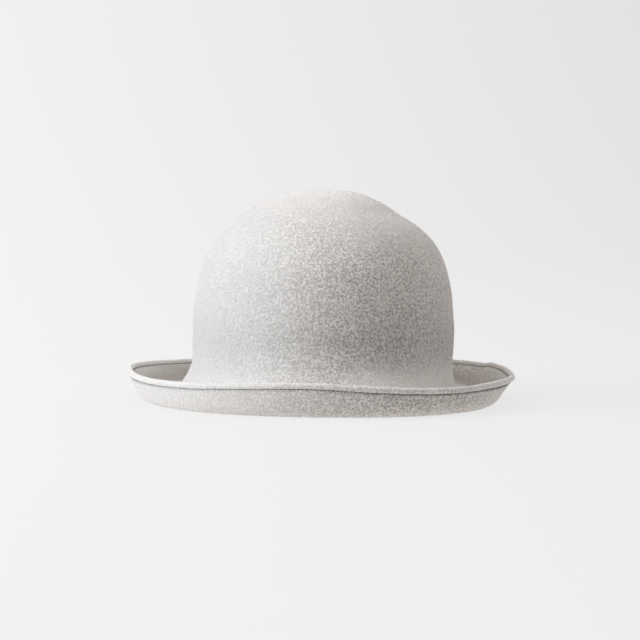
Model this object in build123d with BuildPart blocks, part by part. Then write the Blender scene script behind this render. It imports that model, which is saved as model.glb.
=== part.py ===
"""Round-crowned wool felt hat with its brim turned up all round.

Millimetres. +Z is up, -Y is the front of the hat, +Y is the back, and the origin lies on the
surface that the brim stands on, under the middle of the head oval.

Every level cut through the hat is an oval with the same ratio of length to width. The felt and
its edge binding are turned from one section and stretched to that ratio, so they fit all round.
Wire, threads, ribbon and labels keep their own thickness and are swept round an oval instead.
"""

from build123d import *
import os
from math import cos, degrees, radians, sin, tan

os.makedirs("parts", exist_ok=True)


# ---------------------------------------------------------------------------
# Driving dimensions
# ---------------------------------------------------------------------------

# Oval of the hat
length_ratio = 1.15  # front to back over side to side
crown_half_width = 88.0  # outer face of the upright wall, at the sides
felt_thickness = 3.0

# Crown
hat_height = 142.0
wall_top = 55.0  # the wall is upright below this height and domed above it
dome_power = 2.25  # 2 is a circle, and a higher power has squarer shoulders
dome_steps = 8  # stretches of the dome curve between wall and apex

# Brim section: a bend out of the crown, a flat run and a flank that turns up
foot_radius = 12.0  # upper side of the bend out of the crown
flank_corner = 121.6  # underside corner between flat run and flank, from the middle
flank_bend_radius = 14.0  # underside of the bend into the flank
flank_angle = 63.0
flank_length = 17.5  # from the corner to the shoulder under the edge binding
rest_press = 0.2  # felt pressed flat where the brim stands

# Brim edge: a thinned tongue of felt inside a folded strip
tongue_thickness = 2.2
tongue_length = 2.0
binding_thickness = 0.8
binding_depth = 4.0  # along the flank, from its lower edge to its fold
binding_gap = 0.1  # between the tongue and the strip on each side
ditch_width = 0.5  # between the shoulder and the strip's lower edge
wire_diameter = 1.0
wire_sides = 16  # the section of so thin a wire is drawn as a polygon
wire_gap = 1.0  # between the wire's two ends, inside the joiner
joiner_diameter = 1.6
joiner_bore = 1.1
joiner_length = 14.0
joiner_turn = 29.0  # degrees round the oval, from the right-hand side towards the back
thread_diameter = 0.4
thread_sides = 12

# Sweatband, inside the crown wall
band_ease = 0.3
band_thickness = 0.8
band_bottom = 15.0
band_height = 35.0
sewing_line = 2.0  # above the band's lower edge
tack_place = -34.0  # across the hat, from the middle
tack_margin = 3.0  # from the tack's ends to the band's edges

# Labels sewn to the sweatband at the back
layer_gap = 0.05  # between layers that lie on each other
label_thickness = 0.5
label_width = 44.0
label_low = 26.0
label_high = 46.0
label_seam_inset = 1.5
size_tab_width = 12.0
size_tab_low = 14.5
size_tab_high = 25.5
care_label_width = 24.0
care_label_place = 42.0  # across the hat, from the middle
care_label_low = 20.0
care_label_high = 56.0


# ---------------------------------------------------------------------------
# Guides shared by the pieces
# ---------------------------------------------------------------------------

# Section plane of the flank: x runs up the flank, y from its underside to its upper face
flank_section = Plane(
    origin=(flank_corner, 0, 0),
    x_dir=(cos(radians(flank_angle)), 0, sin(radians(flank_angle))),
    z_dir=(0, -1, 0),
)
flank_middle = felt_thickness / 2
tongue_low = flank_middle - tongue_thickness / 2
tongue_high = flank_middle + tongue_thickness / 2
tongue_end = flank_length + tongue_length

# Inner face of the crown wall, and the faces of the layers that lie on it
wall_face = crown_half_width - felt_thickness
band_face = wall_face - band_ease - band_thickness
wall_back = wall_face * length_ratio


def flank_point(along, above):
    """Distance from the middle and height of a point of the flank section."""
    point = flank_section.from_local_coords((along, above))
    return (point.X, point.Z)


def oval_path(half_width):
    """Level oval round the hat, in two halves that start at its right-hand side."""
    with BuildLine() as oval:
        for half_start in (0, 180):
            EllipticalCenterArc(
                (0, 0),
                half_width,
                half_width * length_ratio,
                start_angle=half_start,
                arc_size=180,
            )
    return oval.line


def thread_ring(along, above):
    """Sewing thread that follows the brim edge."""
    half_width, height = flank_point(along, above)
    with BuildPart() as ring:
        with BuildSketch(Plane.XZ):
            with Locations((half_width, height)):
                RegularPolygon(thread_diameter / 2, thread_sides)
        sweep(path=oval_path(half_width))
    return ring.part


def wall_strip(outer_face, thickness, low, high):
    """Upright strip round the inside of the crown, given by its outer face at the sides."""
    with BuildPart() as strip:
        with BuildSketch(Plane.XZ):
            with Locations((outer_face - thickness / 2, (low + high) / 2)):
                Rectangle(thickness, high - low)
        sweep(path=oval_path(outer_face))
    return strip.part


def cut_block(place, width):
    """Block that keeps a stretch of a strip at the back of the hat."""
    with BuildPart() as block:
        with Locations((place, wall_back, 0)):
            Box(width, wall_back, 2 * hat_height)
    return block.part


# ---------------------------------------------------------------------------
# Felt body: the blocked hood, crown and brim in one piece
# ---------------------------------------------------------------------------


def dome_curve(half_width, top):
    """Points of the crown's curve, from the top of the upright wall to the apex."""
    points = [(half_width, wall_top)]
    for step in range(1, dome_steps):
        angle = radians(90) * step / dome_steps
        across = half_width * cos(angle) ** (2 / dome_power)
        up = (top - wall_top) * sin(angle) ** (2 / dome_power)
        points.append((across, wall_top + up))
    points.append((0, top))
    return points


outer_dome = dome_curve(crown_half_width, hat_height)
inner_dome = dome_curve(wall_face, hat_height - felt_thickness)
upper_corner = flank_corner - felt_thickness * tan(radians(flank_angle / 2))
pressed_corner = flank_point(-rest_press / sin(radians(flank_angle)), 0)

with BuildPart() as felt_body:
    with BuildSketch(Plane.XZ):
        with BuildLine():
            Spline(*outer_dome, tangents=((0, 1), (-1, 0)))
            Line(outer_dome[-1], inner_dome[-1])
            Spline(*inner_dome, tangents=((0, 1), (-1, 0)))
            lower_face = FilletPolyline(
                inner_dome[0],
                (wall_face, -rest_press),
                pressed_corner,
                flank_point(flank_length, 0),
                radius=(foot_radius + felt_thickness, flank_bend_radius),
            )
            upper_face = FilletPolyline(
                outer_dome[0],
                (crown_half_width, felt_thickness),
                (upper_corner, felt_thickness),
                flank_point(flank_length, felt_thickness),
                radius=(foot_radius, flank_bend_radius - felt_thickness),
            )
            Polyline(
                upper_face @ 1,
                flank_point(flank_length, tongue_high),
                flank_point(tongue_end, tongue_high),
                flank_point(tongue_end, tongue_low),
                flank_point(flank_length, tongue_low),
                lower_face @ 1,
            )
        make_face()
    revolve(axis=Axis.Z)
    scale(by=(1, length_ratio, 1))
    Box(
        4 * flank_corner,
        4 * flank_corner,
        hat_height,
        align=(Align.CENTER, Align.CENTER, Align.MAX),
        mode=Mode.SUBTRACT,
    )

felt_body.part.label = "felt_body"
export_step(felt_body.part, "parts/felt_body.step")


# ---------------------------------------------------------------------------
# Edge binding: a felt strip folded over the brim edge
# ---------------------------------------------------------------------------

cavity_half = tongue_thickness / 2 + binding_gap
binding_half = cavity_half + binding_thickness
binding_low = flank_length + ditch_width
fold_centre = binding_low + binding_depth - binding_half
side_length = fold_centre - binding_low
side_middle = (binding_low + fold_centre) / 2

with BuildPart() as edge_binding:
    with BuildSketch(flank_section):
        with Locations((side_middle, flank_middle)):
            Rectangle(side_length, 2 * binding_half)
        with Locations((fold_centre, flank_middle)):
            Circle(binding_half)
            Circle(cavity_half, mode=Mode.SUBTRACT)
        with Locations((side_middle, flank_middle)):
            Rectangle(side_length, 2 * cavity_half, mode=Mode.SUBTRACT)
    revolve(axis=Axis.Z)
    scale(by=(1, length_ratio, 1))

edge_binding.part.label = "edge_binding"
export_step(edge_binding.part, "parts/edge_binding.step")


# ---------------------------------------------------------------------------
# Brim wire in the fold of the binding, and the sleeve that joins its two ends
# ---------------------------------------------------------------------------

wire_place = tongue_end + joiner_diameter / 2 + layer_gap
wire_half_width, wire_height = flank_point(wire_place, flank_middle)
wire_gap_turn = degrees(wire_gap / wire_half_width)
joiner_half_turn = degrees(joiner_length / 2 / wire_half_width)


def wire_stretch(start, turn, section):
    """Wire or sleeve along part of the brim's edge, placed by angles round the oval."""
    with BuildLine(Plane.XY.offset(wire_height)) as route:
        EllipticalCenterArc(
            (0, 0),
            wire_half_width,
            wire_half_width * length_ratio,
            start_angle=start,
            arc_size=turn,
        )
    with BuildPart() as stretch:
        with BuildSketch(Plane(origin=route.line @ 0, z_dir=route.line % 0)):
            add(section)
        sweep(path=route.line)
    return stretch.part


with BuildSketch() as wire_section:
    RegularPolygon(wire_diameter / 2, wire_sides)

with BuildSketch() as joiner_section:
    Circle(joiner_diameter / 2)
    Circle(joiner_bore / 2, mode=Mode.SUBTRACT)

wire_round = wire_stretch(
    joiner_turn + wire_gap_turn / 2, 360 - wire_gap_turn, wire_section.sketch
)
sleeve = wire_stretch(joiner_turn - joiner_half_turn, 2 * joiner_half_turn, joiner_section.sketch)

with BuildPart() as brim_wire:
    add(wire_round)

brim_wire.part.label = "brim_wire"
export_step(brim_wire.part, "parts/brim_wire.step")

with BuildPart() as wire_joiner:
    add(sleeve)

wire_joiner.part.label = "wire_joiner"
export_step(wire_joiner.part, "parts/wire_joiner.step")


# ---------------------------------------------------------------------------
# The two threads of the seam that holds the binding, one in each ditch
# ---------------------------------------------------------------------------

ditch_middle = flank_length + ditch_width / 2
thread_seat = thread_diameter / 2 + layer_gap
needle_ring = thread_ring(ditch_middle, tongue_low - thread_seat)
bobbin_ring = thread_ring(ditch_middle, tongue_high + thread_seat)

with BuildPart() as binding_needle_thread:
    add(needle_ring)

binding_needle_thread.part.label = "binding_needle_thread"
export_step(binding_needle_thread.part, "parts/binding_needle_thread.step")

with BuildPart() as binding_bobbin_thread:
    add(bobbin_ring)

binding_bobbin_thread.part.label = "binding_bobbin_thread"
export_step(binding_bobbin_thread.part, "parts/binding_bobbin_thread.step")


# ---------------------------------------------------------------------------
# Sweatband: grosgrain ribbon round the head opening, with its sewing
# ---------------------------------------------------------------------------

band_top = band_bottom + band_height
sewing_height = band_bottom + sewing_line
stitch_face = band_face - layer_gap
band_strip = wall_strip(wall_face - band_ease, band_thickness, band_bottom, band_top)
sewing_strip = wall_strip(
    stitch_face, thread_diameter, sewing_height, sewing_height + thread_diameter
)
tack_strip = wall_strip(
    stitch_face, thread_diameter, band_bottom + tack_margin, band_top - tack_margin
)
tack_block = cut_block(tack_place, thread_diameter)

with BuildPart() as sweatband:
    add(band_strip)

sweatband.part.label = "sweatband"
export_step(sweatband.part, "parts/sweatband.step")

with BuildPart() as sweatband_thread:
    add(sewing_strip)

sweatband_thread.part.label = "sweatband_thread"
export_step(sweatband_thread.part, "parts/sweatband_thread.step")

with BuildPart() as sweatband_back_tack:
    add(tack_strip)
    add(tack_block, mode=Mode.INTERSECT)

sweatband_back_tack.part.label = "sweatband_back_tack"
export_step(sweatband_back_tack.part, "parts/sweatband_back_tack.step")


# ---------------------------------------------------------------------------
# Labels sewn to the sweatband at the back, all blank
# ---------------------------------------------------------------------------

seam_place = label_width / 2 - label_seam_inset
hanging_face = stitch_face - thread_diameter - layer_gap  # clear of the band's sewing

label_strip = wall_strip(stitch_face, label_thickness, label_low, label_high)
seam_strip = wall_strip(
    stitch_face - label_thickness - layer_gap,
    thread_diameter,
    label_low + label_seam_inset,
    label_high - label_seam_inset,
)
size_tab_strip = wall_strip(hanging_face, label_thickness, size_tab_low, size_tab_high)
care_strip = wall_strip(hanging_face, label_thickness, care_label_low, care_label_high)
label_block = cut_block(0, label_width)
size_tab_block = cut_block(0, size_tab_width)
care_block = cut_block(care_label_place, care_label_width)
seam_blocks = [cut_block(place, thread_diameter) for place in (-seam_place, seam_place)]

with BuildPart() as maker_label:
    add(label_strip)
    add(label_block, mode=Mode.INTERSECT)

maker_label.part.label = "maker_label"
export_step(maker_label.part, "parts/maker_label.step")

with BuildPart() as label_thread:
    add(seam_strip)
    add(seam_blocks, mode=Mode.INTERSECT)

label_thread.part.label = "label_thread"
export_step(label_thread.part, "parts/label_thread.step")

with BuildPart() as size_tab:
    add(size_tab_strip)
    add(size_tab_block, mode=Mode.INTERSECT)

size_tab.part.label = "size_tab"
export_step(size_tab.part, "parts/size_tab.step")

with BuildPart() as care_label:
    add(care_strip)
    add(care_block, mode=Mode.INTERSECT)

care_label.part.label = "care_label"
export_step(care_label.part, "parts/care_label.step")
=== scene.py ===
from math import cos, pi, radians, sin

import bmesh
import bpy
import numpy as np
from mathutils import Matrix, Vector, noise


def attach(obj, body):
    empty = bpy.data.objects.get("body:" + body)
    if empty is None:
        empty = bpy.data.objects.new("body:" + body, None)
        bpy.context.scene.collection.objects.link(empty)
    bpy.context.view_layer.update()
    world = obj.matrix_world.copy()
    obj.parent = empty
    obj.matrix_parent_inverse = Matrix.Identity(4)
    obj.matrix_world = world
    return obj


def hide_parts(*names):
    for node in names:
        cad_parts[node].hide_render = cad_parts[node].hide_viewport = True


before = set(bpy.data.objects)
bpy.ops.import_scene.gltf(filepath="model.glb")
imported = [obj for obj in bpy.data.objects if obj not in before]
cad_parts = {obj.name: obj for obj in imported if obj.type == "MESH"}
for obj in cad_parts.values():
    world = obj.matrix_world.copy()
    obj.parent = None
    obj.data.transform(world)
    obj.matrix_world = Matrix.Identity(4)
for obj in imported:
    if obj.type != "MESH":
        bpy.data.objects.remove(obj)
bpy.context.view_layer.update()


# --------------------------------------------------------------
# Camera
# A long lens straight in front of the hat, a little above the brim. It is rolled slightly,
# so the hat seems to sit a touch low on its right.
# --------------------------------------------------------------
hat_middle = Vector((-0.002, 0.0, 0.0527))
view_distance = 1.9
view_rise = radians(3.8)
view_roll = radians(0.7)
view_width = 0.435  # what the frame spans at the hat

camera_data = bpy.data.cameras.new("camera")
camera_data.sensor_width = 36.0
camera_data.lens = camera_data.sensor_width * view_distance / view_width
camera_data.clip_start, camera_data.clip_end = 0.05, 50.0
camera = bpy.data.objects.new("camera", camera_data)
view_back = Vector((0.0, -cos(view_rise), sin(view_rise)))
camera.location = hat_middle + view_distance * view_back
camera.rotation_mode = "QUATERNION"
camera.rotation_quaternion = (
    (-view_back).to_track_quat("-Z", "Y").to_matrix() @ Matrix.Rotation(view_roll, 3, "Z")
).to_quaternion()
bpy.context.scene.collection.objects.link(camera)
bpy.context.scene.camera = camera


# --------------------------------------------------------------
# Studio
# A pale round sweep of floor and wall without a corner, a large soft box on the left and a
# pale sky for fill. None of it is part of the hat.
# --------------------------------------------------------------
scene = bpy.context.scene
scene.view_settings.view_transform = "Standard"
scene.view_settings.look = "None"

sweep_radius = 3.2
sweep_flat = 1.2  # inner part of the level floor
sweep_bend = 1.0
sweep_height = 3.4
sweep_sides = 96
sweep_bend_steps = 16
sweep_tones = (0.805, 0.66)  # its glow at the left and at the right
sweep_tone_reach = 0.7  # from the hat to where each tone is reached

# Fill light: warm, bright from ceiling and floor and dim from the far walls, as (height of the
# direction looked at, brightness). A wall behind the hat adds to it.
fill_levels = [(-1.0, 1.9), (-0.5, 0.80), (0.0, 0.15), (0.5, 0.76), (1.0, 1.15)]
fill_scale = 2.0  # the curve's own values stay below 1
fill_colour = (1.045, 1.0, 0.97, 1)
back_glow = 0.78


def link(piece):
    bpy.context.scene.collection.objects.link(piece)
    return piece


def set_input(shader, **values):
    """Sets plain values on a shader's own sockets, by socket name with _ for a space."""
    for name, value in values.items():
        shader.inputs[name.replace("_", " ")].default_value = value


def node(tree, kind, inputs=None, **settings):
    """Node with its settings, whose inputs are plain values or other nodes' outputs."""
    made = tree.nodes.new(kind)
    for name, value in settings.items():
        setattr(made, name, value)
    for socket, value in (inputs or {}).items():
        if isinstance(value, bpy.types.NodeSocket):
            tree.links.new(value, made.inputs[socket])
        else:
            made.inputs[socket].default_value = value
    return made


def arithmetic(tree, kind, first, second):
    return node(tree, "ShaderNodeMath", {0: first, 1: second}, operation=kind).outputs[0]


def ring_mesh(name, rings, closed_section=False, capped=False, merge=1e-7):
    """Smooth mesh of a grid of points, whose rings are closed round the hat."""
    grid = np.asarray(rings)
    count, sides, _ = grid.shape
    faces = []
    for ring in range(count if closed_section else count - 1):
        above = (ring + 1) % count
        for side in range(sides):
            after = (side + 1) % sides
            faces.append((
                ring * sides + side, above * sides + side,
                above * sides + after, ring * sides + after,
            ))
    if capped:
        faces.append(tuple(range(sides)))
        faces.append(tuple(range((count - 1) * sides, count * sides)))
    mesh = bpy.data.meshes.new(name)
    mesh.from_pydata(grid.reshape(-1, 3).tolist(), [], faces)
    mesh_edit = bmesh.new()
    mesh_edit.from_mesh(mesh)
    bmesh.ops.remove_doubles(mesh_edit, verts=mesh_edit.verts, dist=merge)
    bmesh.ops.recalc_face_normals(mesh_edit, faces=mesh_edit.faces)
    mesh_edit.to_mesh(mesh)
    mesh_edit.free()
    mesh.shade_smooth()
    return link(bpy.data.objects.new(name, mesh))


sweep_outline = [(0.0, 0.0), (sweep_flat, 0.0)]
for step in range(sweep_bend_steps + 1):
    bend_turn = pi / 2 * step / sweep_bend_steps
    sweep_outline.append((
        sweep_radius - sweep_bend + sweep_bend * sin(bend_turn),
        sweep_bend - sweep_bend * cos(bend_turn),
    ))
sweep_outline.append((sweep_radius, sweep_height))
sweep_turns = np.arange(sweep_sides) * 2 * pi / sweep_sides
studio_sweep = ring_mesh("studio_sweep", [
    np.stack([
        radius * np.cos(sweep_turns), radius * np.sin(sweep_turns), height + 0 * sweep_turns,
    ], axis=1)
    for radius, height in sweep_outline
])
studio_sweep.data.flip_normals()

sweep_paint = bpy.data.materials.new("sweep_paint")
sweep_paint.use_nodes = True
paint = sweep_paint.node_tree
sweep_shader = paint.nodes["Principled BSDF"]
set_input(
    sweep_shader, Base_Color=(0.10, 0.10, 0.10, 1), Roughness=1.0, Specular_IOR_Level=0.0,
    Emission_Strength=1.0,
)
# Painted light: the sweep glows by itself, brighter on the left where the soft box stands and dimmer on
# the right
sweep_place = node(paint, "ShaderNodeTexCoord").outputs["Object"]
sweep_glow = node(paint, "ShaderNodeMapRange", {
    "Value": node(paint, "ShaderNodeSeparateXYZ", {0: sweep_place}).outputs["X"],
    "From Min": -sweep_tone_reach, "From Max": sweep_tone_reach,
    "To Min": sweep_tones[0], "To Max": sweep_tones[1],
}).outputs["Result"]
paint.links.new(sweep_glow, sweep_shader.inputs["Emission Color"])
studio_sweep.data.materials.append(sweep_paint)
studio_sweep.visible_diffuse = False

studio_air = bpy.data.worlds.new("studio_air")
scene.world = studio_air
studio_air.use_nodes = True
air = studio_air.node_tree
looked_at = node(air, "ShaderNodeTexCoord").outputs["Generated"]
direction = node(air, "ShaderNodeSeparateXYZ", {0: looked_at}).outputs
level_share = node(air, "ShaderNodeMapRange", {
    "Value": direction["Z"], "From Min": -1.0, "From Max": 1.0,
}).outputs["Result"]
fill = node(air, "ShaderNodeFloatCurve", {"Value": level_share})
fill_curve = fill.mapping.curves[0]
fill_curve.points[0].location = (0.0, fill_levels[0][1] / fill_scale)
fill_curve.points[1].location = (1.0, fill_levels[-1][1] / fill_scale)
for level, brightness in fill_levels[1:-1]:
    fill_curve.points.new((level + 1) / 2, brightness / fill_scale)
fill.mapping.update()
behind = node(air, "ShaderNodeMapRange", {"Value": direction["Y"], "To Max": back_glow})
fill_strength = arithmetic(
    air, "ADD", arithmetic(air, "MULTIPLY", fill.outputs[0], fill_scale), behind.outputs["Result"],
)
air.nodes["Background"].inputs["Color"].default_value = fill_colour
air.links.new(fill_strength, air.nodes["Background"].inputs["Strength"])


def soft_box(name, place, aim, width, height, power, colour):
    """Large area light at a place, turned to an aim point. The camera doesn't see it."""
    light = bpy.data.lights.new(name, "AREA")
    light.shape = "RECTANGLE"
    light.size = width
    light.size_y = height
    light.energy = power
    light.color = colour
    box = link(bpy.data.objects.new(name, light))
    box.visible_camera = False
    box.location = place
    box.rotation_mode = "QUATERNION"
    box.rotation_quaternion = (Vector(aim) - Vector(place)).to_track_quat("-Z", "Y")


soft_box(
    "window_light", place=(-2.44, -0.89, 1.13), aim=(0, 0, 0.08), width=1.8, height=1.8, power=86,
    colour=(0.93, 1.0, 1.08),
)


# --------------------------------------------------------------
# Felt body
# The hood: one piece of grey melange wool felt, blocked over a round crown and turned up at
# the brim, so that crown and brim have no seam between them. It is 3 mm thick.
# --------------------------------------------------------------
length_ratio = 1.15
felt_thickness = 0.003
turns = 360

# Outline of crown and foot at the hat's two sides, from the apex down, as (across, height)
crown_right = [
    (0.0057, 0.1416), (0.0237, 0.1390), (0.0384, 0.1328), (0.0507, 0.1247), (0.0638, 0.1165),
    (0.0744, 0.1063), (0.0815, 0.0938), (0.0865, 0.0760), (0.0889, 0.0560), (0.0894, 0.0399),
    (0.0870, 0.0220), (0.0856, 0.0095), (0.0880, 0.0052), (0.0922, 0.0033), (0.0970, 0.0030),
]
crown_left = [
    (0.0057, 0.1416), (-0.0123, 0.1405), (-0.0294, 0.1378), (-0.0434, 0.1338), (-0.0553, 0.1256),
    (-0.0656, 0.1150), (-0.0741, 0.1040), (-0.0812, 0.0925), (-0.0853, 0.0753), (-0.0879, 0.0554),
    (-0.0881, 0.0284), (-0.0898, 0.0196), (-0.0933, 0.0127), (-0.0985, 0.0062), (-0.1060, 0.0030),
]
crown_rings = 136

# The turned-up brim, as (turn in degrees, value): the top and the reach of its edge, the lean
# of its flank from level, and the radius of the bend under the flank. Turns run from the
# right-hand side over the back.
rim_height = [
    (0, 0.0186), (17, 0.0202), (32, 0.0190), (60, 0.0186), (90, 0.0180), (120, 0.0172),
    (140, 0.0174), (160, 0.0192), (180, 0.0206), (205, 0.0190), (229, 0.0194), (250, 0.0218),
    (267, 0.0229), (282, 0.0211), (297, 0.0192), (312, 0.0184), (327, 0.0191), (345, 0.0192),
]
rim_reach = [
    (0, 0.1304), (45, 0.1322), (90, 0.1314), (135, 0.1322), (180, 0.1323), (225, 0.1345),
    (270, 0.1314), (315, 0.1340),
]
flank_lean = [
    (0, 49), (40, 58), (90, 64), (140, 68), (160, 66), (180, 64), (200, 68), (225, 76), (270, 73),
    (316, 80), (343, 57),
]
flank_bend = [(0, 0.007), (90, 0.007), (140, 0.0055), (180, 0.0035), (225, 0.0045), (290, 0.007)]

# How far the foot of the crown spreads over the gutter, beyond the two side outlines
foot_flare = [
    (0, 0.0), (30, 0.002), (90, 0.006), (150, 0.002), (180, 0.0), (225, 0.006), (270, 0.018),
    (305, 0.0245), (338, 0.0172),
]
flare_top = 0.042  # height at which the spread begins
flare_sharpness = 1.6
kink_turn = radians(23)  # a small kink in the brim's edge
kink_width = radians(2.2)
kink_height = 0.0008
roll_radius = 0.002
shoulder_drop = 0.0021  # from the roll's centre down the flank to the felt's shoulder
gutter_height = felt_thickness
gutter_rings = 7
bend_rings = 9
flank_rings = 9

# Tongue inside the binding, as (up the flank, off the flank) from the roll's centre
tongue_outline = [
    (-0.00222, -0.00140), (-0.00210, -0.00118), (-0.00130, -0.00108), (-0.00055, -0.00106),
    (-0.00050, -0.00040), (-0.00050, 0.00040), (-0.00055, 0.00106), (-0.00130, 0.00108),
    (-0.00210, 0.00118), (-0.00222, 0.00140),
]

# Unevenness of hand-blocked felt, as (size of a patch, how far it stands proud)
broad_unevenness = [(0.070, 0.0005), (0.022, 0.00012)]
broad_full_height = 0.04  # on the crown, where it has grown from none at the floor to full
nubby_surface = [(0.0060, 0.00012), (0.0032, 0.00020)]
nubby_fade_rings = 3  # where the surface runs out under the binding
straight_up = np.array((0.0, 0.0, 1.0))


def smooth_line(points, count, steps=40):
    """Evenly spaced points along a smooth curve through the given ones."""
    points = np.array(points)
    padded = np.vstack((2 * points[0] - points[1], points, 2 * points[-1] - points[-2]))
    line = []
    for k in range(1, len(padded) - 2):
        p0, p1, p2, p3 = padded[k - 1:k + 3]
        for t in np.linspace(0, 1, steps, endpoint=False):
            line.append(0.5 * (
                2 * p1 + (p2 - p0) * t + (2 * p0 - 5 * p1 + 4 * p2 - p3) * t ** 2
                + (3 * p1 - p0 - 3 * p2 + p3) * t ** 3
            ))
    line.append(points[-1])
    line = np.array(line)
    lengths = np.concatenate(([0], np.cumsum(np.linalg.norm(np.diff(line, axis=0), axis=1))))
    at = np.linspace(0, lengths[-1], count)
    return np.stack([np.interp(at, lengths, line[:, axis]) for axis in (0, 1)], axis=1)


def round_the_hat(points, turn):
    """Smooth closed run of a value through (degrees, value) points, read at the given turns."""
    stops, values = np.array(points, dtype=float).T
    stops = np.radians(stops)
    after = np.roll(values, -1)
    stop_before = np.roll(stops, 1)
    stop_before[0] -= 2 * pi
    stop_after = np.roll(stops, -1)
    stop_after[-1] += 2 * pi
    slopes = (after - np.roll(values, 1)) / (stop_after - stop_before)
    turn = np.asarray(turn) % (2 * pi)
    k = np.searchsorted(stops, turn, side="right") - 1
    span = stop_after[k] - stops[k]
    t = (turn - stops[k]) / span
    slope_after = np.roll(slopes, -1)
    return (
        (2 * t ** 3 - 3 * t ** 2 + 1) * values[k] + (t ** 3 - 2 * t ** 2 + t) * slopes[k] * span
        + (3 * t ** 2 - 2 * t ** 3) * after[k] + (t ** 3 - t ** 2) * slope_after[k] * span
    )


def level_ring(right, left, turn):
    """Oval ring whose two side points are given as (across, height)."""
    middle = (right + left) / 2
    half = (right - left) / 2
    return np.stack([
        middle[0] + half[0] * np.cos(turn),
        half[0] * length_ratio * np.sin(turn),
        middle[1] + half[1] * np.cos(turn),
    ], axis=1)


def outward(turn):
    """Level directions square to the hat's oval."""
    across = np.stack([length_ratio * np.cos(turn), np.sin(turn), 0 * turn], axis=-1)
    return across / np.linalg.norm(across, axis=-1, keepdims=True)


def rim_point(turn, along, off):
    """Points of the brim's edge, from the roll's centre: up the flank, and off its outer face."""
    turn = np.asarray(turn, dtype=float)
    kink = kink_height * np.exp(-((turn % (2 * pi) - kink_turn) / kink_width) ** 2)
    reach = round_the_hat(rim_reach, turn) - roll_radius
    height = round_the_hat(rim_height, turn) + kink - roll_radius
    lean = np.radians(round_the_hat(flank_lean, turn))[..., None]
    side = outward(turn)
    centre = np.stack([reach * np.cos(turn), reach * length_ratio * np.sin(turn), height], axis=-1)
    along = np.asarray(along, dtype=float)[..., None]
    off = np.asarray(off, dtype=float)[..., None]
    return (
        centre + along * (side * np.cos(lean) + straight_up * np.sin(lean))
        + off * (side * np.sin(lean) - straight_up * np.cos(lean))
    )


def patches(points, size, seed=0.0):
    """Smooth random unevenness over points, with patches of the given size."""
    shift = Vector((seed, 1.7 * seed, -2.3 * seed))
    scaled = points.reshape(-1, 3) / size
    heights = [noise.noise(Vector(point) + shift) for point in scaled]
    return np.array(heights).reshape(points.shape[:-1])


def surface_normals(grid):
    """Normals of a grid of rings, pointing out of the crown."""
    down = np.gradient(grid, axis=0)
    along = np.roll(grid, -1, axis=1) - np.roll(grid, 1, axis=1)
    normal = np.cross(down, along)
    normal /= np.maximum(np.linalg.norm(normal, axis=2, keepdims=True), 1e-12)
    normal[0] = (0, 0, 1)
    return normal


def flare(turn, height):
    """Outward spread of the crown's foot at the given turns and heights."""
    lowness = np.clip((flare_top - height) / flare_top, 0, 1)
    spread = np.asarray(round_the_hat(foot_flare, turn) * lowness ** flare_sharpness)
    return spread[..., None] * outward(turn)


# Outer face, ring by ring: crown and foot, level gutter, bend and flank
around = np.arange(turns) * 2 * pi / turns
right_line = smooth_line(crown_right, crown_rings)
left_line = smooth_line(crown_left, crown_rings)
upper_rings = []
for right, left in zip(right_line, left_line):
    ring = level_ring(right, left, around)
    upper_rings.append(ring + flare(around, ring[:, 2]))

shoulder = rim_point(around, -shoulder_drop, -felt_thickness / 2)
lean = np.radians(round_the_hat(flank_lean, around))
bend_radius = round_the_hat(flank_bend, around)
flank_rise = shoulder[:, 2] - gutter_height - bend_radius * (1 - np.cos(lean))
flank_run = flank_rise / np.sin(lean)
bend_centre = rim_point(around, -shoulder_drop - flank_run, -felt_thickness / 2 - bend_radius)
bend_start = bend_centre - bend_radius[:, None] * straight_up
foot_end = upper_rings[-1]
for step in range(1, gutter_rings):
    upper_rings.append(foot_end + (bend_start - foot_end) * step / gutter_rings)
for step in range(bend_rings):
    bend_turn = (lean * step / bend_rings)[:, None]
    bend_way = np.sin(bend_turn) * outward(around) - np.cos(bend_turn) * straight_up
    upper_rings.append(bend_centre + bend_radius[:, None] * bend_way)
for step in range(flank_rings + 1):
    upper_rings.append(rim_point(
        around, -shoulder_drop - flank_run * (1 - step / flank_rings), -felt_thickness / 2
    ))

upper_face = np.array(upper_rings)
ring_numbers = np.arange(len(upper_rings))[:, None, None]
face_normals = surface_normals(upper_face)
broad_share = np.clip(upper_face[:, :, 2:3] / broad_full_height, 0, 1) * (ring_numbers < crown_rings)
for patch_size, proud in broad_unevenness:
    swell = patches(upper_face, patch_size, seed=patch_size) * proud
    upper_face += swell[:, :, None] * face_normals * broad_share

# The inner face follows the outer one in half as many rings and stays above the floor
face_normals = surface_normals(upper_face)
inner_rings = np.append(np.arange(0, len(upper_rings) - 1, 2), len(upper_rings) - 1)
under_face = (upper_face - felt_thickness * face_normals)[inner_rings]
under_face[:, :, 2] = np.maximum(under_face[:, :, 2], 0)
nubby_share = np.clip((len(upper_rings) - 1 - ring_numbers) / nubby_fade_rings, 0, 1)
for patch_size, proud in nubby_surface:
    swell = patches(upper_face, patch_size, seed=3.0) * proud
    upper_face += swell[:, :, None] * face_normals * nubby_share

tongue = [rim_point(around, along, off) for along, off in tongue_outline]
felt_hood = ring_mesh("felt_hood", np.concatenate((upper_face, tongue, under_face[::-1])))


def blend_colours(tree, share, first, second, kind="MIX"):
    """Colour between two, or the second laid on the first."""
    made = node(
        tree, "ShaderNodeMix", {0: share, 6: first, 7: second}, data_type="RGBA", blend_type=kind,
    )
    return made.outputs[2]


def step_up(tree, value, low, high):
    """Share from 0 to 1 as a value goes from low to high."""
    made = node(tree, "ShaderNodeMapRange", {
        "Value": value, "From Min": low, "From Max": high,
    }, interpolation_type="SMOOTHSTEP")
    return made.outputs["Result"]


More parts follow.
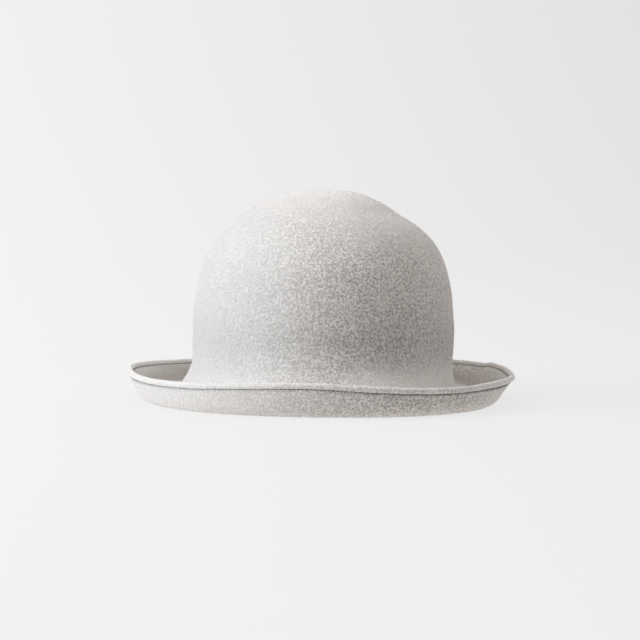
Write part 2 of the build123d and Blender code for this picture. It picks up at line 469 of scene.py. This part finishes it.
def speckle(tree, place, scale, detail):
    """Plain noise at a place."""
    made = node(tree, "ShaderNodeTexNoise", {"Vector": place, "Scale": scale, "Detail": detail})
    return made.outputs[0]


def new_group(name, colours, values=()):
    """Node group with named colours and values to set: the group, these, and the place shaded."""
    group = bpy.data.node_groups.new(name, "ShaderNodeTree")
    for way, kind, labels in (
        ("INPUT", "Color", colours), ("INPUT", "Float", values),
        ("OUTPUT", "Color", ("Color",)), ("OUTPUT", "Float", ("Height", "Roughness")),
    ):
        for label in labels:
            group.interface.new_socket(label, in_out=way, socket_type="NodeSocket" + kind)
    place = node(group, "ShaderNodeTexCoord").outputs["Object"]
    return group, node(group, "NodeGroupInput").outputs, place


def group_gives(tree, colour, height, least, mask, share):
    """What a group gives. Its roughness starts at the least and adds a share of a mask."""
    roughness = arithmetic(tree, "ADD", least, arithmetic(tree, "MULTIPLY", mask, share))
    node(tree, "NodeGroupOutput", {"Color": colour, "Height": height, "Roughness": roughness})


def melange_felt_group():
    """Wool felt of mixed pale and dark fibres: clumps, flecks and short curling hairs."""
    tree, wools, place = new_group("melange_felt", ("Pale wool", "Grey wool", "Fleck"))

    def wool_noise(scale, detail, roughness=0.6, distortion=0.0, vector=place):
        return node(tree, "ShaderNodeTexNoise", {
            "Vector": vector, "Scale": scale, "Detail": detail, "Roughness": roughness,
            "Distortion": distortion,
        }).outputs[0]

    def product(first, second):
        return arithmetic(tree, "MULTIPLY", first, second)

    drift = wool_noise(22.0, 3.0)
    clumps = wool_noise(660.0, 3.0, 0.62, 0.4)
    grain = wool_noise(1300.0, 2.0)
    hairs = None
    for turned, seed in (((0.4, 0.2, 0.9), 0.0), ((0.9, 0.5, -0.6), 3.1), ((0.1, -0.8, 0.3), 7.7)):
        combed = node(tree, "ShaderNodeMapping", {
            "Vector": place, "Location": (seed, seed, seed), "Rotation": turned,
            "Scale": (170.0, 1500.0, 1500.0),
        }).outputs[0]
        hair = step_up(tree, wool_noise(1.0, 2.0, 0.5, 1.1, combed), 0.56, 0.70)
        hairs = hair if hairs is None else arithmetic(tree, "MAXIMUM", hairs, hair)
    cells = node(tree, "ShaderNodeTexVoronoi", {"Vector": place, "Scale": 420.0, "Randomness": 1.0})
    lot = node(tree, "ShaderNodeSeparateColor", {"Color": cells.outputs["Color"]}).outputs[0]
    spot = step_up(tree, cells.outputs["Distance"], 0.55, 0.15)
    flecks = product(step_up(tree, lot, 0.74, 0.86), spot)

    # Painted light: paler, less mottled wool on the left, on top and at the right foot of the crown,
    # where most light falls
    where = node(tree, "ShaderNodeSeparateXYZ", {"Vector": place}).outputs
    left_painted_light = product(step_up(tree, where["X"], 0.055, -0.065), 0.66)
    top_painted_light = product(step_up(tree, where["Z"], 0.085, 0.140), 0.7)
    level = node(tree, "ShaderNodeVectorMath", {
        0: place, 1: (1, 1 / length_ratio, 0),
    }, operation="MULTIPLY").outputs[0]
    reach = node(tree, "ShaderNodeVectorMath", {0: level}, operation="LENGTH").outputs["Value"]
    foot_painted_light = product(step_up(tree, where["Z"], 0.038, 0.020), step_up(tree, reach, 0.118, 0.108))
    foot_painted_light = product(product(foot_painted_light, step_up(tree, where["X"], -0.015, 0.035)), 0.7)
    painted_light = arithmetic(tree, "MAXIMUM", foot_painted_light, arithmetic(tree, "MAXIMUM", left_painted_light, top_painted_light))

    tufts = arithmetic(tree, "ADD", product(clumps, 0.7), product(grain, 0.3))
    # The share of pale wool: the felt's own mottling, raised by the painted light above
    mottling_and_painted_light = arithmetic(tree, "MAXIMUM", step_up(tree, tufts, 0.395, 0.585), painted_light)
    colour = blend_colours(tree, mottling_and_painted_light, wools["Grey wool"], wools["Pale wool"])
    colour = blend_colours(tree, product(hairs, 0.55), colour, wools["Pale wool"])
    colour = blend_colours(tree, product(flecks, 0.16), colour, wools["Fleck"])
    tone = step_up(tree, drift, 0.2, 0.8)
    colour = blend_colours(tree, product(tone, 0.10), colour, wools["Grey wool"])

    # Painted shade: darker wool low on the brim's inner face, in the gutter beside the crown
    facing = node(tree, "ShaderNodeVectorMath", {
        0: node(tree, "ShaderNodeTexCoord").outputs["Normal"], 1: place,
    }, operation="DOT_PRODUCT").outputs["Value"]
    gutter_painted_shade = product(step_up(tree, facing, -0.01, -0.06), step_up(tree, where["Z"], 0.018, 0.006))
    colour = blend_colours(tree, gutter_painted_shade, colour, (0.68, 0.655, 0.65, 1), kind="MULTIPLY")

    height = arithmetic(tree, "ADD", clumps, product(hairs, 0.15))
    height = arithmetic(tree, "ADD", height, product(grain, 0.20))
    group_gives(tree, colour, height, 0.86, clumps, 0.12)
    return tree


melange_felt = melange_felt_group()


def finished(name, group, colours, bump_height, strength=1.0, **shader_values):
    """Material whose colour, roughness and relief come from a group."""
    material = bpy.data.materials.new(name)
    material.use_nodes = True
    tree = material.node_tree
    shader = tree.nodes["Principled BSDF"]
    look = tree.nodes.new("ShaderNodeGroup")
    look.node_tree = group
    for socket, value in colours.items():
        look.inputs[socket].default_value = value
    relief = node(tree, "ShaderNodeBump", {
        "Height": look.outputs["Height"], "Distance": bump_height, "Strength": strength,
    })
    tree.links.new(look.outputs["Color"], shader.inputs["Base Color"])
    tree.links.new(look.outputs["Roughness"], shader.inputs["Roughness"])
    tree.links.new(relief.outputs["Normal"], shader.inputs["Normal"])
    set_input(shader, **shader_values)
    return material


def felt_in(name, pale, grey):
    """Melange felt in a pale and a grey wool, with dark flecks and a soft bloom."""
    return finished(
        name, melange_felt,
        {"Pale wool": pale, "Grey wool": grey, "Fleck": (0.22, 0.18, 0.165, 1)},
        bump_height=0.0012, strength=0.9,
        Sheen_Weight=0.7, Sheen_Roughness=0.40, Sheen_Tint=(1.0, 0.99, 0.98, 1),
        Specular_IOR_Level=0.15,
    )


hood_felt = felt_in("hood_felt", pale=(0.78, 0.758, 0.725, 1), grey=(0.285, 0.263, 0.26, 1))
felt_hood.data.materials.append(hood_felt)
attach(felt_hood, "root")
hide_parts("felt_body")


# --------------------------------------------------------------
# Brim wire and joiner
# Spring steel wire in the fold of the binding, which holds the turned-up edge in its oval. A
# crimped steel sleeve joins its two ends at the right rear.
# --------------------------------------------------------------
wire_thickness = 0.001
wire_seat = 0.00035  # above the roll's centre
wire_stations = 480
joiner_middle = radians(29)
wire_gap_half = 0.0037  # half the gap between the wire's ends, in radians
joiner_half = 0.052  # half the sleeve's length, in radians
joiner_outer = 0.0008
joiner_bore = 0.00056
joiner_stations = 29
joiner_sides = 20
crimp_depth = 0.00014
crimps = (-0.6, -0.25, 0.25, 0.6)  # as shares of the sleeve's half length
crimp_width = 0.06
steel_relief = 0.00002


def strand(route, thickness, sides=6):
    """Rings of a round strand along a row of points, as thick as told at each point."""
    route = np.asarray(route)
    ahead = np.gradient(route, axis=0)
    ahead /= np.linalg.norm(ahead, axis=1, keepdims=True)
    across = np.cross(ahead, (0.03, 0.02, 1.0))
    across /= np.linalg.norm(across, axis=1, keepdims=True)
    lift = np.cross(across, ahead)
    turn = np.arange(sides) * 2 * pi / sides
    half = np.broadcast_to(np.asarray(thickness) / 2, len(route))[:, None, None]
    return route[:, None] + half * (
        across[:, None] * np.cos(turn)[None, :, None] + lift[:, None] * np.sin(turn)[None, :, None]
    )


def strands(name, routes, thickness, sides=6):
    """One mesh of many round strands with closed ends."""
    points = []
    faces = []
    for route in routes:
        grid = strand(route, thickness, sides)
        first = len(points)
        points += grid.reshape(-1, 3).tolist()
        last = first + (len(grid) - 1) * sides
        for ring in range(len(grid) - 1):
            for side in range(sides):
                after = (side + 1) % sides
                corner = first + ring * sides
                faces.append((
                    corner + side, corner + sides + side, corner + sides + after, corner + after,
                ))
        faces.append(tuple(first + side for side in range(sides)))
        faces.append(tuple(last + side for side in reversed(range(sides))))
    mesh = bpy.data.meshes.new(name)
    mesh.from_pydata(points, [], faces)
    mesh.shade_smooth()
    return link(bpy.data.objects.new(name, mesh))


def drawn_steel_group():
    """Drawn or rolled steel: fine scratches along a dull grey metal."""
    tree, steel, place = new_group("drawn_steel", ("Steel", "Stain"))
    scratches = speckle(tree, place, 2600.0, 3.0)
    dull = speckle(tree, place, 160.0, 2.0)
    colour = blend_colours(tree, step_up(tree, dull, 0.45, 0.75), steel["Steel"], steel["Stain"])
    group_gives(tree, colour, scratches, 0.28, dull, 0.25)
    return tree


drawn_steel = drawn_steel_group()
wire_turns = joiner_middle + np.linspace(wire_gap_half, 2 * pi - wire_gap_half, wire_stations)
spring_wire = strands("spring_wire", [rim_point(wire_turns, wire_seat, 0)], wire_thickness, sides=12)
spring_wire.data.materials.append(finished(
    "spring_steel", drawn_steel, {"Steel": (0.50, 0.50, 0.51, 1), "Stain": (0.34, 0.31, 0.29, 1)},
    bump_height=steel_relief, Metallic=1.0,
))
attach(spring_wire, "root")
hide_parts("brim_wire")

along_sleeve = np.linspace(-1, 1, joiner_stations)
sleeve_route = rim_point(joiner_middle + joiner_half * along_sleeve, wire_seat, 0)
crimping = sum(np.exp(-((along_sleeve - crimp) / crimp_width) ** 2) for crimp in crimps)
sleeve_outer = joiner_outer - crimp_depth * crimping
crimped_sleeve = ring_mesh("crimped_sleeve", np.concatenate((
    strand(sleeve_route, 2 * sleeve_outer, joiner_sides),
    strand(sleeve_route, 2 * joiner_bore, joiner_sides)[::-1],
)), closed_section=True)
crimped_sleeve.data.materials.append(finished(
    "tinned_steel", drawn_steel, {"Steel": (0.62, 0.62, 0.62, 1), "Stain": (0.45, 0.44, 0.43, 1)},
    bump_height=steel_relief, Metallic=1.0,
))
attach(crimped_sleeve, "root")
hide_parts("wire_joiner")


# --------------------------------------------------------------
# Edge binding
# A narrow strip of the same felt, folded over the thinned brim edge into a round roll. It is
# stitched through in the ditches under it, and each stitch pulls a small pucker into it.
# --------------------------------------------------------------
stitch_count = 296
binding_turns = 4 * stitch_count
strip_thickness = 0.0008
strip_length = 0.0016  # from the roll's centre down to the strip's two edges
fold_steps = 10
side_steps = 4
outer_tuck = 0.00055  # how far the strip's edges are drawn in, on its two faces
inner_tuck = 0.00012
pucker_depth = 0.00022
wool_lumps = [(0.0035, 0.00016, 5.0), (0.011, 0.00022, 9.0)]  # as (size, proud, seed)

binding_around = np.arange(binding_turns) * 2 * pi / binding_turns
stitch_pull = 0.5 + 0.5 * np.cos(stitch_count * binding_around)


def strip_outline(radius, edge_tuck):
    """Half round fold with two sides, as (along, off, share of pucker) points."""
    points = []
    for step in range(side_steps):
        share = 1 - step / side_steps
        points.append((-strip_length * share, -radius + edge_tuck * share ** 3, share))
    for step in range(fold_steps + 1):
        fold_turn = -pi / 2 + pi * step / fold_steps
        points.append((radius * cos(fold_turn), radius * sin(fold_turn), 0.0))
    for step in range(1, side_steps + 1):
        share = step / side_steps
        points.append((-strip_length * share, radius - edge_tuck * share ** 3, share))
    return points


binding_rings = []
for along, off, share in strip_outline(roll_radius, outer_tuck):
    tuck = -np.sign(off) * pucker_depth * share * stitch_pull
    binding_rings.append(rim_point(binding_around, along + 0 * tuck, off + tuck))
outside_rings = len(binding_rings)
for along, off, share in reversed(strip_outline(roll_radius - strip_thickness, inner_tuck)):
    binding_rings.append(rim_point(binding_around, along, off))
binding_grid = np.array(binding_rings)
binding_centre = rim_point(binding_around, 0, 0)
roundness = binding_grid[:outside_rings] - binding_centre
roundness /= np.linalg.norm(roundness, axis=2, keepdims=True)
lumpiness = sum(
    proud * patches(binding_grid[:outside_rings], lump_size, seed)
    for lump_size, proud, seed in wool_lumps
)
binding_grid[:outside_rings] += lumpiness[:, :, None] * roundness
brim_binding = ring_mesh("brim_binding", binding_grid, closed_section=True)
# Painted highlight: the binding's wools are paler than the hood's, so the roll reads lighter
brim_binding.data.materials.append(
    felt_in("binding_felt", pale=(0.82, 0.80, 0.77, 1), grey=(0.46, 0.44, 0.43, 1))
)
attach(brim_binding, "root")
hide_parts("edge_binding")


# --------------------------------------------------------------
# Seam of the binding
# A lockstitch of dark spun polyester thread: the needle thread shows in the outer ditch and
# the bobbin thread in the inner one. Both go through strip and felt between stitches.
# --------------------------------------------------------------
ditch_place = -0.00182  # down the flank from the roll's centre
thread_thickness = 0.00042
thread_seat = 0.00125  # off the middle of the felt
stitch_start, stitch_share = 0.13, 0.74  # where a stitch shows in its pitch
stitch_bow = 0.00022
stitch_dive = 0.0007
stitch_slant = 0.00010
stitch_stations = 9
stitch_turn = 2 * pi / stitch_count


def spun_thread_group():
    """Spun thread: two plies twisted together, with loose short fibres."""
    tree, thread, place = new_group("spun_thread", ("Thread", "Lint"))
    plies = node(tree, "ShaderNodeTexWave", {
        "Vector": place, "Scale": 420.0, "Distortion": 2.0, "Detail": 1.0,
    }, bands_direction="DIAGONAL").outputs["Fac"]
    lint = speckle(tree, place, 1900.0, 3.0)
    colour = blend_colours(tree, step_up(tree, lint, 0.52, 0.80), thread["Thread"], thread["Lint"])
    group_gives(tree, colour, plies, 0.62, lint, 0.25)
    return tree


def binding_stitches(name, face):
    """A row of stitches in one ditch: face is 1 on the outer side and -1 on the inner side."""
    share = np.linspace(0, 1, stitch_stations)
    bow = np.sin(pi * share) ** 0.5
    routes = []
    for stitch in range(stitch_count):
        turn = (stitch + stitch_start + stitch_share * share) * stitch_turn
        along = ditch_place + stitch_slant * (share - 0.5) * 2
        off = face * (thread_seat - stitch_dive * (1 - bow) + stitch_bow * bow)
        routes.append(rim_point(turn, along, off))
    return strands(name, routes, thread_thickness)


spun_thread = spun_thread_group()
seam_thread = finished(
    "seam_thread", spun_thread, {"Thread": (0.13, 0.115, 0.11, 1), "Lint": (0.28, 0.26, 0.25, 1)},
    bump_height=0.00008, Sheen_Weight=0.2,
)
for stitches_name, cad_node, face in (
    ("binding_needle_stitches", "binding_needle_thread", 1),
    ("binding_bobbin_stitches", "binding_bobbin_thread", -1),
):
    stitches = binding_stitches(stitches_name, face)
    stitches.data.materials.append(seam_thread)
    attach(stitches, "root")
    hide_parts(cad_node)


# --------------------------------------------------------------
# Sweatband
# A ribbed grosgrain ribbon round the inside of the head opening. Its two ends lap at the
# back, a running stitch sews its lower edge to the felt and a bar tack closes the lap.
# --------------------------------------------------------------
band_low, band_high = 0.015, 0.050
band_thickness = 0.0008
band_gap = 0.0003
rib_pitch = 0.0008
rib_relief = 0.00007
band_edge_share = 0.55  # of the thickness, at its two woven edges
band_length = 0.587
lap_middle = radians(113.9)
lap_half = 0.083  # half the lap's length, in radians
lap_rise = 0.0009
lap_ramp = 0.14  # run over which the upper end climbs the lower one, in radians
band_stations = 2 * round(band_length / rib_pitch)
band_rows = 8
band_face = felt_thickness + band_gap + band_thickness  # inside the felt's outer face


def felt_wall(turn, height, inside):
    """Points at a distance inside the crown's outer face, at the given turns and heights."""
    turn = np.asarray(turn, dtype=float)
    height = np.asarray(height, dtype=float) + 0 * turn
    right = np.interp(height, right_line[::-1, 1], right_line[::-1, 0])
    left = np.interp(height, left_line[::-1, 1], left_line[::-1, 0])
    middle = (right + left) / 2
    half = (right - left) / 2
    face = np.stack([
        middle + half * np.cos(turn), half * length_ratio * np.sin(turn), height,
    ], axis=-1)
    return face + flare(turn, height) - np.asarray(inside)[..., None] * outward(turn)


def ribbed_cloth_group():
    """Grosgrain: weft ribs side by side, crossed by a fine warp, with a slight sheen."""
    tree, yarns, place = new_group("ribbed_cloth", ("Warp", "Weft"))
    warp = node(tree, "ShaderNodeTexWave", {
        "Vector": place, "Scale": 900.0, "Distortion": 0.6, "Detail": 1.0,
    }, bands_direction="Z").outputs["Fac"]
    slubs = speckle(tree, place, 700.0, 3.0)
    wear = speckle(tree, place, 40.0, 2.0)
    mixed = arithmetic(tree, "MULTIPLY", warp, step_up(tree, slubs, 0.30, 0.70))
    colour = blend_colours(tree, mixed, yarns["Warp"], yarns["Weft"])
    colour = blend_colours(tree, arithmetic(tree, "MULTIPLY", wear, 0.15), colour, yarns["Warp"])
    group_gives(tree, colour, warp, 0.55, slubs, 0.3)
    return tree


def lap_offset(run):
    """How far the ribbon stands in over its other end, by its run from the first end on."""
    into_lap = (run - 2 * pi + lap_ramp) / lap_ramp
    share = np.clip(into_lap, 0, 1)
    return lap_rise * share * share * (3 - 2 * share)


band_run = np.linspace(0, 2 * pi + 2 * lap_half, band_stations)
band_turns = lap_middle - lap_half + band_run
rib = rib_relief * np.where(np.arange(band_stations) % 2, 1.0, -1.0)
band_heights = [band_low + (band_high - band_low) * row / band_rows for row in range(band_rows + 1)]
band_section = [(height, 1) for height in band_heights]
band_section += [(height, -1) for height in reversed(band_heights)]
band_grid = []
for height, side in band_section:
    edge = min(height - band_low, band_high - height) < 1e-6
    half_thickness = band_thickness / 2 * (band_edge_share if edge else 1.0)
    inside = band_face - band_thickness / 2 + lap_offset(band_run)
    inside = inside + side * (half_thickness + rib * (not edge))
    band_grid.append(felt_wall(band_turns, height, inside))
sweatband_ribbon = ring_mesh("sweatband_ribbon", np.array(band_grid).transpose(1, 0, 2), capped=True)
sweatband_ribbon.data.materials.append(finished(
    "grosgrain", ribbed_cloth_group(), {"Warp": (0.125, 0.12, 0.115, 1), "Weft": (0.20, 0.19, 0.18, 1)},
    bump_height=0.00012, Sheen_Weight=0.3, Sheen_Roughness=0.35,
))
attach(sweatband_ribbon, "root")
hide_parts("sweatband")

running_pitch = 0.0062
running_share = 0.62  # of the pitch, where a stitch shows
running_thread = 0.0004
running_bow, running_sink = 0.9, 0.6  # as shares of the thread's thickness
running_height = band_low + 0.002
running_rest = 0.02  # length of ribbon at the lap without stitches
running_count = round((band_length - running_rest) / running_pitch)
share = np.linspace(0, 1, stitch_stations)
running_routes = []
for stitch in range(running_count):
    run = 2 * lap_half + (2 * pi - 2 * lap_half) * (stitch + running_share * share) / running_count
    stand = running_bow * np.sin(pi * share) ** 0.5 - running_sink
    inside = band_face + lap_offset(run) + running_thread * stand
    running_routes.append(felt_wall(lap_middle - lap_half + run, running_height, inside))
band_stitches = strands("sweatband_stitches", running_routes, running_thread)
band_thread = finished(
    "band_thread", spun_thread, {"Thread": (0.135, 0.125, 0.12, 1), "Lint": (0.25, 0.24, 0.23, 1)},
    bump_height=0.00008, Sheen_Weight=0.2,
)
band_stitches.data.materials.append(band_thread)
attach(band_stitches, "root")
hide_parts("sweatband_thread")

tack_low, tack_high = 0.018, 0.047
tack_half_width = 0.006  # in radians
tack_points = 41
tack_swing = np.where(np.arange(tack_points) % 2, tack_half_width, -tack_half_width)
tack_route = felt_wall(
    lap_middle + tack_swing, np.linspace(tack_low, tack_high, tack_points),
    band_face + lap_rise + rib_relief + running_thread / 2 + 0 * tack_swing,
)
back_tack = strands("sweatband_bar_tack", [tack_route], running_thread)
back_tack.data.materials.append(band_thread)
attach(back_tack, "root")
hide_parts("sweatband_back_tack")


# --------------------------------------------------------------
# Labels
# Blank tapes at the back of the sweatband: a woven label sewn down at its two ends, a small
# folded size tape that hangs under it and a satin care tape beside them.
# --------------------------------------------------------------
label_lift = 0.00022  # from the ribbon's ribs to the label's back
label_rows = 12
label_low, label_high, label_width = 0.026, 0.046, 0.044
label_thickness = 0.0005
label_face = band_face + rib_relief + label_lift
label_belly = 0.0005
label_stations = 45


def woven_tape_group():
    """Fine tape: warp and weft in a plain weave, slightly uneven."""
    tree, tape, place = new_group("woven_tape", ("Yarn", "Shade"), values=("Threads per metre",))
    picks = [
        node(tree, "ShaderNodeTexWave", {
            "Vector": place, "Scale": tape["Threads per metre"], "Distortion": 0.4, "Detail": 1.0,
        }, bands_direction=axis).outputs["Fac"]
        for axis in ("X", "Z")
    ]
    weave = arithmetic(tree, "MULTIPLY", picks[0], picks[1])
    uneven = speckle(tree, place, 300.0, 2.0)
    colour = blend_colours(tree, arithmetic(tree, "MULTIPLY", weave, 0.8), tape["Shade"], tape["Yarn"])
    colour = blend_colours(tree, arithmetic(tree, "MULTIPLY", uneven, 0.2), colour, tape["Shade"])
    group_gives(tree, colour, weave, 0.50, uneven, 0.25)
    return tree


def back_turn(across, inside):
    """Turn at which the sweatband's back lies a given distance across the hat."""
    half = (right_line[:, 0].max() - left_line[:, 0].min()) / 2 - inside
    return pi / 2 - np.arcsin(np.asarray(across) / half)


def tape(name, place, width, section, stations):
    """Tape across the band's back: section is a closed row of (height, inside) points, and a
    station's share of the width, from -1 to 1, may lift it."""
    grid = []
    for share in np.linspace(-1, 1, stations):
        outline = section(share)
        heights = np.array([height for height, inside in outline])
        insides = np.array([inside for height, inside in outline])
        turn = back_turn(place + share * width / 2, band_face)
        grid.append(felt_wall(turn + 0 * heights, heights, insides))
    return ring_mesh(name, grid, capped=True)


def flat_tape(low, high, inside, thickness, swell):
    """Section of a single layer, swollen a little away from its sewn ends."""
    def section(share):
        heights = np.linspace(low, high, label_rows)
        stand = swell(share, (heights - low) / (high - low))
        back = [(h, inside + s) for h, s in zip(heights, stand)]
        front = [(h, inside + s + thickness) for h, s in zip(heights[::-1], stand[::-1])]
        return back + front
    return section


def label_swell(share, up):
    """Belly between the sewn ends and the edges, with a slow wave across it."""
    wave = 1 + 0.4 * np.sin(5 * share + 2 * up)
    return label_belly * (1 - share ** 4) * np.sin(pi * up) ** 0.7 * wave


woven_label = tape(
    "woven_label", 0.0, label_width,
    flat_tape(label_low, label_high, label_face, label_thickness, label_swell), label_stations,
)
woven_tape = woven_tape_group()
label_cloth = finished(
    "label_cloth", woven_tape,
    {"Yarn": (0.66, 0.63, 0.57, 1), "Shade": (0.47, 0.44, 0.39, 1), "Threads per metre": 420.0},
    bump_height=0.00010, Sheen_Weight=0.15,
)
woven_label.data.materials.append(label_cloth)
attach(woven_label, "root")
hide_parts("maker_label")

label_seam = label_width / 2 - 0.0015
label_stitches_high = 8
label_stitch_start, label_stitch_share = 0.15, 0.7
label_stitch_thickness = 0.00035
label_stitch_bow, label_stitch_sink = 0.00035, 0.00015
label_stitch_routes = []
for place in (-label_seam, label_seam):
    for stitch in range(label_stitches_high):
        up = (stitch + label_stitch_start + label_stitch_share * share) / label_stitches_high
        heights = label_low + (label_high - label_low) * up
        stand = label_stitch_bow * np.sin(pi * share) ** 0.5 - label_stitch_sink
        turn = back_turn(place, band_face) + 0 * share
        label_stitch_routes.append(felt_wall(turn, heights, label_face + label_thickness + stand))
label_stitches = strands("label_stitches", label_stitch_routes, label_stitch_thickness)
label_stitches.data.materials.append(finished(
    "label_thread", spun_thread, {"Thread": (0.50, 0.47, 0.42, 1), "Lint": (0.62, 0.60, 0.56, 1)},
    bump_height=0.00006, Sheen_Weight=0.2,
))
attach(label_stitches, "root")
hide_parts("label_thread")

size_low, size_high, size_width = 0.0145, 0.0255, 0.012
size_layer = 0.0003
size_loop = 0.0009  # between the two layers at the fold
size_front_pinch = 0.8  # the front layer bends in less than the back one
size_fold_steps = 8
size_stations = 13


def folded_tape(share):
    """Section of a tape folded in two, with its round fold at the bottom."""
    fold_radius = size_loop / 2 + size_layer
    centre = label_face + running_thread + fold_radius
    outer, inner = [], []

    def leg(row):
        """Height of a row, from the free ends down, and how far the layers close in there."""
        height = size_high + (size_low + fold_radius - size_high) * row / label_rows
        return height, (size_loop / 2) * (1 - row / label_rows) ** 2

    for row in range(label_rows):
        height, pinch = leg(row)
        outer.append((height, centre - fold_radius + pinch))
        inner.append((height, centre - fold_radius + size_layer + pinch))
    for step in range(size_fold_steps + 1):
        fold_turn = pi * step / size_fold_steps
        height = size_low + fold_radius
        for outline, radius in ((outer, fold_radius), (inner, size_loop / 2)):
            outline.append((height - radius * sin(fold_turn), centre - radius * cos(fold_turn)))
    for row in reversed(range(label_rows)):
        height, pinch = leg(row)
        pinch *= size_front_pinch
        outer.append((height, centre + fold_radius - pinch))
        inner.append((height, centre + fold_radius - size_layer - pinch))
    return outer + inner[::-1]


size_tape = tape("size_tape", 0.0, size_width, folded_tape, size_stations)
size_tape.data.materials.append(label_cloth)
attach(size_tape, "root")
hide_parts("size_tab")

care_low, care_high, care_width, care_place = 0.020, 0.056, 0.024, 0.042
care_thickness = 0.0004
care_face = label_face + running_thread + 0.0004
care_curl = 0.0016  # how far the loose lower end stands off
care_wave = 0.0004
care_stations = 25


def care_swell(share, up):
    return care_curl * (1 - up) ** 2 + care_wave * np.sin(3 * share + 4 * up)


care_tape = tape(
    "care_tape", care_place, care_width,
    flat_tape(care_low, care_high, care_face, care_thickness, care_swell), care_stations,
)
care_tape.data.materials.append(finished(
    "care_satin", woven_tape,
    {"Yarn": (0.80, 0.79, 0.77, 1), "Shade": (0.68, 0.67, 0.65, 1), "Threads per metre": 700.0},
    bump_height=0.00004, Coat_Weight=0.15, Coat_Roughness=0.3, Sheen_Weight=0.1,
))
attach(care_tape, "root")
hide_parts("care_label")


# --------------------------------------------------------------
# Nap
# Short loose hairs of the wool itself, left standing by the felting. Each is rooted just under
# the surface of the hood or the binding, and together they soften the outline.
# --------------------------------------------------------------
nap_count = 9800
nap_hood_share = 0.9
nap_length = (0.0006, 0.0021)
nap_rise = (0.15, 0.75)  # off the surface, as a share of the length
nap_curl = 0.5
nap_root_depth = 0.0001
nap_thickness = 0.00005
nap_tip_share = 0.35
nap_stations = 4
nap_random = np.random.default_rng(11)


def loose_hairs(face, count):
    """Routes of short curling hairs, rooted at random places of a grid of rings."""
    edges = np.linalg.norm(face[1:, :] - face[:-1, :], axis=2)
    widths = np.linalg.norm(np.roll(face, -1, axis=1) - face, axis=2)[:-1]
    area = (edges * widths).ravel()
    roots = nap_random.choice(len(area), size=count, p=area / area.sum())
    ring, side = np.divmod(roots, face.shape[1])
    slide = nap_random.random((count, 2, 1))
    after = (side + 1) % face.shape[1]
    down = face[ring + 1, side] - face[ring, side]
    along = face[ring, after] - face[ring, side]
    root = face[ring, side] + slide[:, 0] * down + slide[:, 1] * along
    lift = np.cross(down, along)
    lift /= np.maximum(np.linalg.norm(lift, axis=1, keepdims=True), 1e-12)
    lean = nap_random.normal(size=(count, 3))
    lean -= (lean * lift).sum(axis=1, keepdims=True) * lift
    lean /= np.linalg.norm(lean, axis=1, keepdims=True)
    curl = np.cross(lift, lean) * nap_random.normal(scale=nap_curl, size=(count, 1))
    length = nap_random.uniform(*nap_length, size=(count, 1))
    rise = nap_random.uniform(*nap_rise, size=(count, 1))
    share = np.linspace(0, 1, nap_stations)[None, :, None]
    lie = share * lean[:, None] + share ** 2 * curl[:, None] + rise[:, None] * share * lift[:, None]
    return root[:, None] - nap_root_depth * lift[:, None] + length[:, None] * lie


hair_taper = nap_thickness * np.linspace(1.0, nap_tip_share, nap_stations)
hood_hair_count = round(nap_hood_share * nap_count)
hood_hairs = loose_hairs(upper_face[1:], hood_hair_count)
binding_hairs = loose_hairs(binding_grid[:outside_rings], nap_count - hood_hair_count)
felt_nap = strands("felt_nap", np.concatenate((hood_hairs, binding_hairs)), hair_taper, sides=3)
felt_nap.data.materials.append(hood_felt)
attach(felt_nap, "root")
